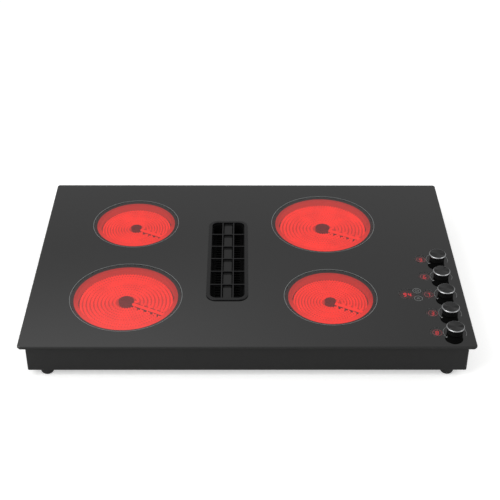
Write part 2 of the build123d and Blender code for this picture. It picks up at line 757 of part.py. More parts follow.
# Impeller: back plate with its hub, ring of blades and a lower ring
impeller_bottom = blower_base_top + impeller_gap
impeller_top = blower_base_top + scroll_height - impeller_gap
blade_ring = impeller_radius - blade_depth / 2
with BuildPart() as impeller:
    with BuildSketch(Plane((blower_x, blower_y, impeller_bottom))):
        Circle(impeller_radius)
        Circle(impeller_radius - blade_depth, mode=Mode.SUBTRACT)
    extrude(amount=impeller_plate)
    with BuildSketch(Plane((blower_x, blower_y, impeller_bottom))):
        with PolarLocations(blade_ring, blade_count):
            Rectangle(blade_depth / math.cos(math.radians(blade_angle)), blade_thickness, rotation=blade_angle)
        Circle(impeller_radius, mode=Mode.INTERSECT)
    extrude(amount=impeller_top - impeller_bottom)
    with BuildSketch(Plane((blower_x, blower_y, impeller_top - impeller_plate))):
        Circle(impeller_radius)
    extrude(amount=impeller_plate)
    with BuildSketch(Plane((blower_x, blower_y, impeller_top - hub_length))):
        Circle(hub_radius)
    extrude(amount=hub_length)
    with Locations((blower_x, blower_y, impeller_top)):
        Hole(motor_shaft_radius + press_clearance, depth=hub_length)
finish(impeller.part, "impeller")

# Motor on the scroll's roof, and its shaft down to the impeller's hub
with BuildPart() as blower_motor:
    with BuildSketch(Plane((blower_x, blower_y, scroll_roof_top))):
        Circle(motor_radius)
    extrude(amount=motor_height)
    fillet(blower_motor.edges().group_by(Axis.Z)[-1], motor_round)
    with BuildSketch(Plane((blower_x, blower_y, scroll_roof_top))):
        Circle(motor_shaft_radius + running_clearance)
    extrude(amount=shaft_bearing_depth, mode=Mode.SUBTRACT)
finish(blower_motor.part, "blower_motor")

with BuildPart() as motor_shaft:
    with BuildSketch(Plane((blower_x, blower_y, impeller_top - hub_length))):
        Circle(motor_shaft_radius)
    extrude(amount=scroll_roof_top + shaft_bearing_depth - running_clearance - impeller_top + hub_length)
finish(motor_shaft.part, "motor_shaft")

# Backdraft damper hanging from its pin in the outlet duct
damper_width = duct_width - 2 * damper_gap
with BuildPart() as damper_flap:
    with BuildSketch(Plane.YZ.offset(duct_x)):
        with Locations((damper_y, damper_level)):
            Circle(damper_barrel_radius)
            Rectangle(damper_sheet, damper_level - blower_base_top - damper_gap, align=(Align.CENTER, Align.MAX))
    extrude(amount=damper_width / 2, both=True)
    with BuildSketch(Plane.YZ.offset(duct_x)):
        with Locations((damper_y, damper_level)):
            Circle(damper_pin_radius)
    extrude(amount=duct_width / 2 + scroll_wall, both=True)
finish(damper_flap.part, "damper_flap")

# Outlet flange on the rear wall, with four holes for a duct
with BuildPart() as outlet_flange:
    with BuildSketch(Plane.XZ.offset(-pan_depth / 2)):
        with Locations((duct_x, duct_level)):
            Rectangle(duct_width + 2 * flange_margin_x, duct_bolt_spacing_z + 2 * flange_margin_z)
            Rectangle(duct_width, scroll_height, mode=Mode.SUBTRACT)
    extrude(amount=-flange_thickness)
    with Locations(*flange_screw_planes):
        Hole(screw_radius + screw_hole_clearance, depth=2 * flange_thickness)
    with Locations(*duct_bolt_planes):
        Hole(duct_bolt_radius, depth=2 * flange_thickness)
finish(outlet_flange.part, "outlet_flange")

# Knobs: body, bright ring and shaft, each on its own axis
knob_bottom = glass_top_level + knob_gap
knob_top = glass_top_level + knob_height
knob_seat = knob_top - knob_ring_height
knob_inside = knob_top - knob_top_thickness
shaft_top = knob_bottom + shaft_knob_depth
board_top = glass_bottom - display_height
for number, ((x, y), level) in enumerate(zip(knob_places, knob_levels), start=1):
    upright = Axis((x, y, 0), (0, 0, 1))
    pointer = math.radians(dial_start_angle - dial_step_angle * level)

    with BuildPart() as knob:
        with BuildSketch(upright_plane(x, y)):
            with BuildLine():
                Polyline(
                    (0, shaft_top), (0, knob_top), (knob_cap_radius, knob_top), (knob_cap_radius, knob_seat),
                    (knob_neck_radius, knob_seat), (knob_base_radius, knob_bottom),
                    (knob_base_radius - knob_wall, knob_bottom), (knob_cap_radius - knob_wall, knob_inside),
                    (knob_hub_radius, knob_inside), (knob_hub_radius, knob_bottom),
                    (shaft_radius + press_clearance, knob_bottom), (shaft_radius + press_clearance, shaft_top),
                    close=True,
                )
            make_face()
        revolve(axis=upright)
        with BuildSketch(Plane((x, y, knob_top), x_dir=(math.cos(pointer), math.sin(pointer), 0))):
            with Locations((knob_cap_radius - pointer_width - pointer_length / 2, 0)):
                SlotOverall(pointer_length, pointer_width)
        extrude(amount=-pointer_depth, mode=Mode.SUBTRACT)
    finish(knob.part, f"knob_{number}")

    with BuildPart() as knob_ring:
        with BuildSketch(Plane((x, y, knob_seat))):
            Circle(knob_ring_radius)
            Circle(knob_cap_radius + press_clearance, mode=Mode.SUBTRACT)
        extrude(amount=knob_ring_height)
        chamfer(knob_ring.edges().group_by(Axis.Z)[-1].sort_by(SortBy.RADIUS)[-1], knob_ring_bevel)
    finish(knob_ring.part, f"knob_ring_{number}")

    with BuildPart() as knob_shaft:
        with BuildSketch(Plane((x, y, board_top + encoder_floor + running_clearance))):
            Circle(shaft_radius)
        extrude(amount=shaft_top - board_top - encoder_floor - 2 * running_clearance)
    finish(knob_shaft.part, f"knob_shaft_{number}")

# Encoders on the control board, each with a collar and the shaft's bearing
with BuildPart() as encoders:
    with Locations(*[(x, y, board_top) for x, y in knob_places]):
        Box(encoder_size, encoder_size, encoder_height, align=BASE)
        Cylinder(encoder_collar_radius, encoder_height + encoder_collar_height, align=BASE)
    with Locations(*[(x, y, board_top + encoder_floor) for x, y in knob_places]):
        Cylinder(shaft_radius + running_clearance, display_height, align=BASE, mode=Mode.SUBTRACT)
finish(encoders.part, "encoders")

# Rubber seals in the glass holes
with BuildPart() as shaft_seals:
    with BuildSketch(Plane.XY.offset(glass_bottom)):
        with Locations(*knob_places):
            Circle(shaft_hole_radius - seal_clearance)
            Circle(shaft_radius + seal_shaft_gap, mode=Mode.SUBTRACT)
    extrude(amount=glass_thickness)
finish(shaft_seals.part, "shaft_seals")

# Control board under the glass, with a digit beside each knob and the timer
with BuildPart() as control_board:
    with Locations((*board_centre, board_top)):
        Box(board_width, board_length, board_thickness, align=TOP)
finish(control_board.part, "control_board")

with BuildPart() as digit_displays:
    with Locations(*[(x - digit_offset, y, board_top) for x, y in knob_places]):
        Box(digit_width, digit_length, display_height, align=BASE)
finish(digit_displays.part, "digit_displays")

with BuildPart() as timer_display:
    with Locations((*timer_place, board_top)):
        Box(timer_width, timer_length, display_height, align=BASE)
finish(timer_display.part, "timer_display")

# Contact pads of the two touch keys, between the board and the glass
with BuildPart() as key_pads:
    with Locations(*[(x, y, board_top) for x, y in key_places]):
        Cylinder(key_pad_radius, display_height, align=BASE)
finish(key_pads.part, "key_pads")

# Power board with its relays, near the right and rear walls
power_level = pan_floor + power_board_lift
with BuildPart() as power_board:
    with Locations((*power_centre, power_level)):
        Box(power_board_width, power_board_length, board_thickness, align=BASE)
finish(power_board.part, "power_board")

relay_pitch = power_board_length / relay_count
with BuildPart() as relays:
    with BuildSketch(Plane((*power_centre, power_level + board_thickness))):
        with GridLocations(0, relay_pitch, 1, relay_count):
            Rectangle(relay_width, relay_length)
    extrude(amount=relay_height)
finish(relays.part, "relays")

# Standoffs of both boards
with BuildPart() as standoffs:
    with BuildSketch(Plane((*power_centre, pan_floor))):
        with GridLocations(power_board_width - 2 * standoff_inset, power_board_length - 2 * standoff_inset, 2, 2):
            Circle(standoff_radius)
    extrude(amount=power_board_lift)
    with BuildSketch(Plane((*board_centre, pan_floor))):
        with GridLocations(board_width - 2 * standoff_inset, board_length - 2 * standoff_inset, 2, 2):
            Circle(standoff_radius)
    extrude(amount=board_top - board_thickness - pan_floor)
finish(standoffs.part, "standoffs")

# Terminal block for the supply cable, beside the gland's way in
terminal_x = gland_x - gland_flange_radius - terminal_width / 2
terminal_y = rear_wall_inside - terminal_rear_gap
terminal_pitch = (terminal_width - terminal_partition) / terminal_count
with BuildPart() as terminal_block:
    with Locations((terminal_x, terminal_y, pan_floor)):
        Box(terminal_width, terminal_depth, terminal_height, align=BASE)
    with BuildSketch(Plane((terminal_x, terminal_y, pan_floor + terminal_height))):
        with GridLocations(terminal_pitch, 0, terminal_count, 1):
            Rectangle(terminal_pitch - terminal_partition, terminal_depth - 2 * terminal_partition)
    extrude(amount=-terminal_slot_depth, mode=Mode.SUBTRACT)
finish(terminal_block.part, "terminal_block")

# Cable gland in the rear wall: flange outside, neck through the wall
with BuildPart() as cable_gland:
    with BuildSketch(gland_plane):
        Circle(gland_flange_radius)
    extrude(amount=gland_flange_thickness)
    fillet(cable_gland.edges().group_by(Axis.Y)[-1], gland_flange_thickness / 4)
    with BuildSketch(gland_plane):
        Circle(gland_neck_radius)
    extrude(amount=-gland_neck_length)
    with BuildSketch(gland_plane.offset(gland_flange_thickness)):
        Circle(gland_bore_radius)
    extrude(amount=-gland_flange_thickness - gland_neck_length, mode=Mode.SUBTRACT)
finish(cable_gland.part, "cable_gland")
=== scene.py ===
"""Downdraft electric cooktop: its looks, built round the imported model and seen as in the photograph."""

import math

import bpy
from mathutils import Matrix, Vector


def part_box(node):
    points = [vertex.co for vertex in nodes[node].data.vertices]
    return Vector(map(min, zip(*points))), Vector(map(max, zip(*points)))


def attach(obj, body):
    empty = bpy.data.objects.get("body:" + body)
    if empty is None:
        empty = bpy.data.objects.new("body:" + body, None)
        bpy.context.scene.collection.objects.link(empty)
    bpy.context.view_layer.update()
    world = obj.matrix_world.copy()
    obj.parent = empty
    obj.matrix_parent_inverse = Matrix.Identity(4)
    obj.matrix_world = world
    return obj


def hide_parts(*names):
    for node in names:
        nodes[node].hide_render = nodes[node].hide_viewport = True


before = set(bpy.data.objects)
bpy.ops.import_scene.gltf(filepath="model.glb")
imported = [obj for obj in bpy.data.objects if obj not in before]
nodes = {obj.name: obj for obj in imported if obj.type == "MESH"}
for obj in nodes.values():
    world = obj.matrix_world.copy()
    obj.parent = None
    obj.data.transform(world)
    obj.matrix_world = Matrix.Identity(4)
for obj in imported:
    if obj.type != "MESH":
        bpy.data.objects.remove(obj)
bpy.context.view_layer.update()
scene = bpy.context.scene
scene.view_settings.view_transform = "Standard"
mm = 0.001

# Camera, in front of the cooktop and looking down on it. Its lens, place and angles come from a fit
# to the corners of the glass in the photograph's 500 pixel frame.
frame_px = 500
lens_px = 1131.15
sensor_mm = 36.0
camera_place = Vector((-10.2, -1723.1, 1274.9)) * mm
camera_pitch = 0.6018
camera_yaw = -0.0091
camera_roll = 0.0056
camera_data = bpy.data.cameras.new("camera")
camera_data.sensor_width = sensor_mm
camera_data.lens = lens_px / frame_px * sensor_mm
camera = bpy.data.objects.new("camera", camera_data)
camera.matrix_world = (
    Matrix.Translation(camera_place)
    @ Matrix.Rotation(camera_yaw, 4, "Z")
    @ Matrix.Rotation(math.pi / 2 - camera_pitch, 4, "X")
    @ Matrix.Rotation(camera_roll, 4, "Z")
)
scene.collection.objects.link(camera)
scene.camera = camera

# White studio: the surroundings are white to the eye and grey in reflections, brighter high up on the left,
# where the big overhead diffuser hangs with soft edges. What lights matt surfaces is a plain even dome.
white = "#ffffff"
dome_level = 0.5
mirrored_level = 0.66
diffuser_level = 0.75
diffuser_low_edge = (0.55, 0.66)  # a heading's rise, from outside the soft edge to inside it
diffuser_right_edge = (0.25, -0.25)  # a heading's lean to the right, likewise


def linear(code):
    """Linear colour of an sRGB hex code."""
    channels = [int(code[i:i + 2], 16) / 255 for i in (1, 3, 5)]
    return [c / 12.92 if c <= 0.04045 else ((c + 0.055) / 1.055) ** 2.4 for c in channels] + [1.0]


def add_node(tree, kind, settings=None, links=None):
    """Add a node, set its properties and input values, link its inputs, and return its outputs."""
    node = tree.nodes.new(kind)
    for key, value in (settings or {}).items():
        if isinstance(key, int) or key in node.inputs:
            node.inputs[key].default_value = value
        else:
            setattr(node, key, value)
    for key, source in (links or {}).items():
        tree.links.new(source, node.inputs[key])
    return node.outputs


world = bpy.data.worlds.new("white_studio")
world.use_nodes = True
scene.world = world
tree = world.node_tree
tree.nodes.clear()
ray = add_node(tree, "ShaderNodeLightPath")
heading = add_node(tree, "ShaderNodeTexCoord")["Generated"]
axes = add_node(tree, "ShaderNodeSeparateXYZ", links={"Vector": heading})
edges = [
    add_node(tree, "ShaderNodeMapRange",
             {"interpolation_type": "SMOOTHSTEP", "From Min": outside, "From Max": inside},
             {"Value": axes[axis]})["Result"]
    for axis, (outside, inside) in (("Z", diffuser_low_edge), ("X", diffuser_right_edge))
]
diffuser = add_node(tree, "ShaderNodeMath", {"operation": "MULTIPLY"}, {0: edges[0], 1: edges[1]})
mirrored = add_node(tree, "ShaderNodeMath",
                    {"operation": "MULTIPLY_ADD", 1: diffuser_level, 2: mirrored_level},
                    {0: diffuser["Value"]})
shown = add_node(tree, "ShaderNodeMix", {3: 1.0}, {0: ray["Is Camera Ray"], 2: mirrored["Value"]})
looked_at = add_node(tree, "ShaderNodeMath", {"operation": "MAXIMUM"},
                     {0: ray["Is Camera Ray"], 1: ray["Is Glossy Ray"]})
looked_at = add_node(tree, "ShaderNodeMath", {"operation": "MAXIMUM"},
                     {0: looked_at["Value"], 1: ray["Is Transmission Ray"]})
dome = add_node(tree, "ShaderNodeBackground", {"Color": linear(white), "Strength": dome_level})
backdrop = add_node(tree, "ShaderNodeBackground", {"Color": linear(white)}, {"Strength": shown["Result"]})
sky = add_node(tree, "ShaderNodeMixShader",
               links={0: looked_at["Value"], 1: dome["Background"], 2: backdrop["Background"]})
add_node(tree, "ShaderNodeOutputWorld", links={"Surface": sky["Shader"]})

# Soft lamps: a large key from the front left and a smaller fill from the right. Both stand above the worktop
# and to the sides, so the glass doesn't mirror them to the camera.
for lamp_name, place, size, watts in (
    ("key_lamp", (-1.5, -1.2, 1.9), 1.5, 24.0),
    ("fill_lamp", (1.8, -0.4, 1.6), 1.0, 8.0),
):
    lamp_data = bpy.data.lights.new(lamp_name, "AREA")
    lamp_data.size = size
    lamp_data.energy = watts
    lamp = bpy.data.objects.new(lamp_name, lamp_data)
    lamp.location = place
    lamp.rotation_euler = (-Vector(place)).to_track_quat("-Z", "Y").to_euler()
    scene.collection.objects.link(lamp)

# Floor: one plain white sheet that the feet stand on. It is lit like any surface, so it keeps the shadow,
# and a little light of its own, for the camera alone, lifts it to white.
floor_reach = 30.0
floor_lift = 0.5
floor_corners = [(x * floor_reach, y * floor_reach, 0) for x, y in ((-1, -1), (1, -1), (1, 1), (-1, 1))]
floor_mesh = bpy.data.meshes.new("floor")
floor_mesh.from_pydata(floor_corners, [], [(0, 1, 2, 3)])
floor = bpy.data.objects.new("floor", floor_mesh)
scene.collection.objects.link(floor)
paper = bpy.data.materials.new("white_paper")
paper.use_nodes = True
tree = paper.node_tree
tree.nodes.clear()
ray = add_node(tree, "ShaderNodeLightPath")
matt = add_node(tree, "ShaderNodeBsdfDiffuse", {"Color": linear("#f4f4f3")})
lift = add_node(tree, "ShaderNodeMath", {"operation": "MULTIPLY", 1: floor_lift}, {0: ray["Is Camera Ray"]})
glow = add_node(tree, "ShaderNodeEmission", {"Color": linear(white)}, {"Strength": lift["Value"]})
both = add_node(tree, "ShaderNodeAddShader", links={0: matt["BSDF"], 1: glow["Emission"]})
add_node(tree, "ShaderNodeOutputMaterial", links={"Surface": both["Shader"]})
floor_mesh.materials.append(paper)

# Base pan and outlet flange: folded steel sheet, 1 mm thick, with a satin black powder coat baked on.
# The coat's fine orange peel breaks up reflections, so the walls look even, and a little cloudy close to.
noise_range = (0.3, 0.7)  # where nearly all values of a noise lie
grain_detail = 3.0
cloud_detail = 5.0
cloud_share = 0.5


def surface(name, shades, roughness, grain_mm, relief_mm, cloud_mm, stretch=(1, 1, 1), metallic=0.0,
            specular=0.5):
    """Material with a fine grain in relief, and two shades and degrees of gloss in broad clouds."""
    material = bpy.data.materials.new(name)
    material.use_nodes = True
    tree = material.node_tree
    shader = tree.nodes["Principled BSDF"]
    shader.inputs["Metallic"].default_value = metallic
    shader.inputs["Specular IOR Level"].default_value = specular
    place = add_node(tree, "ShaderNodeTexCoord")["Object"]
    drawn = add_node(tree, "ShaderNodeMapping", {"Scale": stretch}, {"Vector": place})["Vector"]
    grain = add_node(tree, "ShaderNodeTexNoise", {"Scale": 1 / (grain_mm * mm), "Detail": grain_detail},
                     {"Vector": drawn})
    cloud = add_node(tree, "ShaderNodeTexNoise", {"Scale": 1 / (cloud_mm * mm), "Detail": cloud_detail},
                     {"Vector": place})
    blend = add_node(tree, "ShaderNodeMix", {0: cloud_share}, {2: grain["Fac"], 3: cloud["Fac"]})
    colour = add_node(tree, "ShaderNodeMix",
                      {"data_type": "RGBA", 6: linear(shades[0]), 7: linear(shades[1])},
                      {0: blend["Result"]})
    gloss = add_node(tree, "ShaderNodeMapRange",
                     {"From Min": noise_range[0], "From Max": noise_range[1],
                      "To Min": roughness[0], "To Max": roughness[1]}, {"Value": cloud["Fac"]})
    tree.links.new(colour[2], shader.inputs["Base Color"])
    tree.links.new(gloss["Result"], shader.inputs["Roughness"])
    if relief_mm > 0:
        relief = add_node(tree, "ShaderNodeBump", {"Distance": relief_mm * mm}, {"Height": grain["Fac"]})
        tree.links.new(relief["Normal"], shader.inputs["Normal"])
    return material


def dress(material, *names):
    """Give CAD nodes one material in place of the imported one."""
    for name in names:
        for slot in nodes[name].material_slots:
            slot.material = material


powder_coat = surface("powder_coated_steel", shades=("#1b1b1b", "#242424"), roughness=(0.4, 0.52),
                      grain_mm=1.6, relief_mm=0.03, cloud_mm=45.0, specular=0.3)
dress(powder_coat, "base_pan", "outlet_flange")

# Feet: black rubber mouldings, each pulled through the pan floor by its barbed stem.
# The rubber is matt, with a faint grey bloom where it has been handled. The shaft seals are the same stuff.
rubber = surface("moulded_rubber", shades=("#121212", "#222222"), roughness=(0.6, 0.8),
                 grain_mm=0.6, relief_mm=0.02, cloud_mm=9.0)
dress(rubber, "rubber_feet", "shaft_seals")

# Frame under the glass, and the springs below the elements: zinc coated steel sheet, pressed and folded.
# Zinc gives a cool grey with broad dull spangles.
zinc_coat = surface("zinc_coated_steel", shades=("#84888b", "#aeb2b5"), roughness=(0.28, 0.5),
                    grain_mm=1.0, relief_mm=0.01, cloud_mm=9.0, metallic=1.0)
dress(zinc_coat, "glass_frame", "element_springs")

# Worktop gasket: a strip of closed cell foam stuck round the underside of the glass.
# It is dull black, with a fine froth of cut cells.
foam = surface("closed_cell_foam", shades=("#171717", "#2a2a2a"), roughness=(0.85, 0.95),
               grain_mm=0.7, relief_mm=0.25, cloud_mm=12.0)
dress(foam, "rim_gasket")

# Case screws: cross recess pan heads through the pan's walls into the frame, two through the outlet flange.
# They are zinc plated steel, so the heads are small bright domes with a dark cross.
screw_sides = 24
screw_radius = 2.0
screw_length = 8.0
screw_tip_radius = 1.2
screw_tip_length = 1.0
screw_head_radius = 3.6
screw_head_height = 2.2
screw_head_shares = ((1.0, 0.0), (1.0, 0.55), (0.94, 0.82), (0.8, 1.0))  # of the head's radius and height
recess_reach = 2.1
recess_width = 1.1
recess_depth = 1.4
recess_floor_share = 0.75
screw_sharp_angle = 35.0
side_screw_corner_distance = 60.0
rear_screw_corner_distance = 120.0
screw_drop = 7.0
flange_screw_margin = 7.0


def box_mm(name):
    """Lowest and highest corners of a CAD node, in millimetres."""
    return [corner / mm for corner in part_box(name)]


def add_piece(name, solid, material, body, sharp_angle=None):
    """Add one mesh, given in millimetres, that rides on a body. Edges past the sharp angle stay crisp."""
    corners, faces = solid
    mesh = bpy.data.meshes.new(name)
    mesh.from_pydata([tuple(c * mm for c in corner) for corner in corners], [], faces)
    if sharp_angle is not None:
        mesh.polygons.foreach_set("use_smooth", [True] * len(faces))
        mesh.set_sharp_from_angle(angle=math.radians(sharp_angle))
    mesh.materials.append(material)
    piece = bpy.data.objects.new(name, mesh)
    scene.collection.objects.link(piece)
    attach(piece, body)
    return piece


def gather(solids):
    """Corners and faces of several solids as one mesh."""
    corners, faces = [], []
    for more_corners, more_faces in solids:
        faces += [tuple(i + len(corners) for i in face) for face in more_faces]
        corners += more_corners
    return corners, faces


def stacked(rings):
    """Closed solid skinned over rings of as many points each, capped at both ends."""
    count = len(rings[0])
    corners = [tuple(point) for ring in rings for point in ring]
    faces = [tuple(range(count))[::-1], tuple(range(len(corners) - count, len(corners)))]
    for base in range(0, len(corners) - count, count):
        faces += [(base + i, base + (i + 1) % count, base + count + (i + 1) % count, base + count + i)
                  for i in range(count)]
    return corners, faces


def cross_reach(angle, reach, half_width):
    """Distance from the middle of a cross to its outline."""
    along, across = abs(math.cos(angle)), abs(math.sin(angle))
    near_zero = 1e-9
    arm = min(reach / max(along, near_zero), half_width / max(across, near_zero))
    other_arm = min(half_width / max(along, near_zero), reach / max(across, near_zero))
    return max(arm, other_arm)


def pan_head_screw(place, outward):
    """Screw with its head on a wall, its axis pointing out of it."""
    turned = Vector((0, 0, 1)).rotation_difference(outward)
    angles = [math.tau * i / screw_sides for i in range(screw_sides)]
    profile = [(screw_tip_radius, -screw_length), (screw_radius, screw_tip_length - screw_length),
               (screw_radius, 0.0)]
    profile += [(wide * screw_head_radius, high * screw_head_height) for wide, high in screw_head_shares]
    rings = [[(radius, height)] * screw_sides for radius, height in profile]
    recess = [cross_reach(angle, recess_reach, recess_width / 2) for angle in angles]
    for share, height in ((1.0, screw_head_height), (recess_floor_share, screw_head_height - recess_depth)):
        rings.append([(share * reach, height) for reach in recess])
    return stacked([
        [place + turned @ Vector((radius * math.cos(angle), radius * math.sin(angle), height))
         for (radius, height), angle in zip(ring, angles)]
        for ring in rings
    ])


zinc_plate = surface("zinc_plated_steel", shades=("#85888b", "#a7aaac"), roughness=(0.22, 0.38),
                     grain_mm=0.3, relief_mm=0.005, cloud_mm=4.0, metallic=1.0)
pan_high = box_mm("base_pan")[1]
flange_low, flange_high = box_mm("outlet_flange")
screw_level = pan_high.z - screw_drop
flange_screw_level = (flange_low.z + flange_high.z) / 2
side_screw_y = pan_high.y - side_screw_corner_distance
rear_screw_x = pan_high.x - rear_screw_corner_distance
backwards = Vector((0, 1, 0))
screws = [pan_head_screw(Vector((side * pan_high.x, y, screw_level)), Vector((side, 0, 0)))
          for side in (-1, 1) for y in (-side_screw_y, 0, side_screw_y)]
screws += [pan_head_screw(Vector((x, pan_high.y, screw_level)), backwards)
           for x in (-rear_screw_x, rear_screw_x)]
screws += [pan_head_screw(Vector((x, flange_high.y, flange_screw_level)), backwards)
           for x in (flange_low.x + flange_screw_margin, flange_high.x - flange_screw_margin)]
screw_piece = add_piece("cross_recess_screws", gather(screws), zinc_plate, "cooktop",
                        screw_sharp_angle)
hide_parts("case_screws")

# Element dishes: shallow cups drawn from aluminised steel sheet, one under each heating zone, in two sizes.
# The drawn coat is bright and softly mottled.
large_zone = 93.0  # radius
small_zone = 76.0  # radius
burner_zones = {
    "front_left": large_zone, "front_right": small_zone, "rear_left": small_zone, "rear_right": large_zone,
}
aluminised = surface("aluminised_steel", shades=("#a2a2a0", "#c6c6c4"), roughness=(0.35, 0.55),
                     grain_mm=1.5, relief_mm=0.02, cloud_mm=14.0, metallic=1.0)
dress(aluminised, *[f"dish_{name}" for name in burner_zones])

# Insulation: cups of pressed mineral fibre, one in each dish. The ribbons' light on the fibre is painted on
# as a
# glow: full on the floor between the ribbons, a little less on the ring wall, with a painted highlight that
# is brightest on its front rim. Painted shade keeps the floor darker where no ribbon covers it, beside the
# wall and along the channel of the limiter's rod.
floor_depth = 13.7
ring_wall = 8.0
wall_foot = 3.0  # height in which the floor's glow gives way to the wall's
painted_shade_edge = 3.5
painted_shade_channel_half_width = 8.5
channel_angle = math.radians(-28.0)
# Orange of the ribbons' heat glow, also used for the painted light the ribbons throw on fibre and limiters.
heat_and_painted_light_orange = "#ff7a50"
# Strengths of the painted light on the fibre: the bare floor's is a painted shade, the front rim's a painted
# highlight.
floor_painted_light = 0.8
bare_floor_painted_shade = 0.02
wall_painted_light = 0.7
front_rim_painted_highlight = 1.6
rim_painted_light = 0.66
painted_light_step = 0.4  # length in which the glow changes at a sharp edge
burner_centres = {}


def add_heat_glow_and_painted_light(material, strength):
    """Let a material glow as hot metal does, or carry painted light in the same orange, as strongly as its
    own nodes say.
    """
    tree = material.node_tree
    shader = tree.nodes["Principled BSDF"]
    shader.inputs["Emission Color"].default_value = linear(heat_and_painted_light_orange)
    tree.links.new(strength, shader.inputs["Emission Strength"])


for name, zone in burner_zones.items():
    low, high = box_mm(f"insulation_{name}")
    centre = ((low + high) / 2).to_2d()
    burner_centres[name] = centre
    hot_floor = high.z - floor_depth
    fibre = surface(f"pressed_mineral_fibre_{name}", shades=("#5c524c", "#75695f"), roughness=(0.9, 1.0),
                    grain_mm=1.2, relief_mm=0.3, cloud_mm=15.0)
    tree = fibre.node_tree
    place = add_node(tree, "ShaderNodeTexCoord")["Object"]
    axes = add_node(tree, "ShaderNodeSeparateXYZ", links={"Vector": place})
    own = add_node(tree, "ShaderNodeMapping",
                   {"vector_type": "TEXTURE", "Location": (*(centre * mm), 0),
                    "Rotation": (0, 0, channel_angle)}, {"Vector": place})
    own_axes = add_node(tree, "ShaderNodeSeparateXYZ", links={"Vector": own["Vector"]})
    flat = add_node(tree, "ShaderNodeVectorMath", {"operation": "MULTIPLY", 1: (1, 1, 0)}, {0: own["Vector"]})
    away = add_node(tree, "ShaderNodeVectorMath", {"operation": "LENGTH"}, {0: flat["Vector"]})
    # Painted shade: a mask of the bare floor beside the wall and along the rod's channel.
    by_wall = add_node(tree, "ShaderNodeMath",
                       {"operation": "GREATER_THAN", 1: (zone - ring_wall - painted_shade_edge) * mm},
                       {0: away["Value"]})
    aside = add_node(tree, "ShaderNodeMath", {"operation": "ABSOLUTE"}, {0: own_axes["Y"]})
    by_rod = add_node(tree, "ShaderNodeMath", {"operation": "LESS_THAN", 1: painted_shade_channel_half_width * mm},
                      {0: aside["Value"]})
    ahead = add_node(tree, "ShaderNodeMath", {"operation": "GREATER_THAN", 1: 0.0}, {0: own_axes["X"]})
    in_channel = add_node(tree, "ShaderNodeMath", {"operation": "MULTIPLY"},
                          {0: by_rod["Value"], 1: ahead["Value"]})
    painted_shade_mask = add_node(tree, "ShaderNodeMath", {"operation": "MAXIMUM"},
                    {0: by_wall["Value"], 1: in_channel["Value"]})
    # Painted light on the floor, turned down to painted shade where the floor is bare.
    painted_floor_light = add_node(tree, "ShaderNodeMapRange", {"To Min": floor_painted_light, "To Max": bare_floor_painted_shade},
                          {"Value": painted_shade_mask["Value"]})
    # Painted highlight: the rim's painted light grows towards the front.
    painted_rim_light = add_node(tree, "ShaderNodeMapRange",
                        {"From Min": (centre.y - zone) * mm, "From Max": centre.y * mm,
                         "To Min": front_rim_painted_highlight, "To Max": rim_painted_light}, {"Value": axes["Y"]})
    # Painted light on the wall, which takes the rim's painted light at its top edge.
    painted_wall_light = add_node(tree, "ShaderNodeMapRange",
                         {"From Min": (high.z - painted_light_step) * mm, "From Max": high.z * mm,
                          "To Min": wall_painted_light}, {"Value": axes["Z"], "To Max": painted_rim_light["Result"]})
    on_wall = add_node(tree, "ShaderNodeMapRange",
                       {"From Min": hot_floor * mm, "From Max": (hot_floor + wall_foot) * mm},
                       {"Value": axes["Z"]})
    heat_and_painted_light = add_node(tree, "ShaderNodeMix",
                    links={0: on_wall["Result"], 2: painted_floor_light["Result"], 3: painted_wall_light["Result"]})
    add_heat_glow_and_painted_light(fibre, heat_and_painted_light["Result"])
    dress(fibre, f"insulation_{name}")

# Heating ribbons: thin corrugated strips of resistance alloy, set on edge in the insulation. Each runs in
# arcs round the hub and turns back beside the limiter's channel. All of it glows, here and there a little
# brighter.
ring_count = 10
wall_gap = 2.0
channel_half_width = 5.2
hub_gap = 0.3
bend_margin = 0.3
lug_thickness = 3.0
lug_margin = 0.3
wave_length = 5.0
wave_steps = 6
fewest_steps = 3  # in a short arc
ribbon_thickness = 0.35
ribbon_sharp_angle = 60.0
ribbon_glow = (1.45, 1.8)
glow_patch_mm = 24.0
hubs_and_wires = {large_zone: (13.7, 2.3), small_zone: (10.2, 1.8)}  # their radii in each size of zone


def around(radius, angle, sideways=0.0):
    """Point of an element's plane at an angle from the channel, in millimetres."""
    return Vector((radius * math.cos(angle) - sideways * math.sin(angle),
                   radius * math.sin(angle) + sideways * math.cos(angle)))


def clear_angle(radius, reach, clear):
    """Angle at which something that reaches back towards the channel just clears it."""
    return math.atan2(reach, radius) + math.asin(clear / math.hypot(radius, reach))


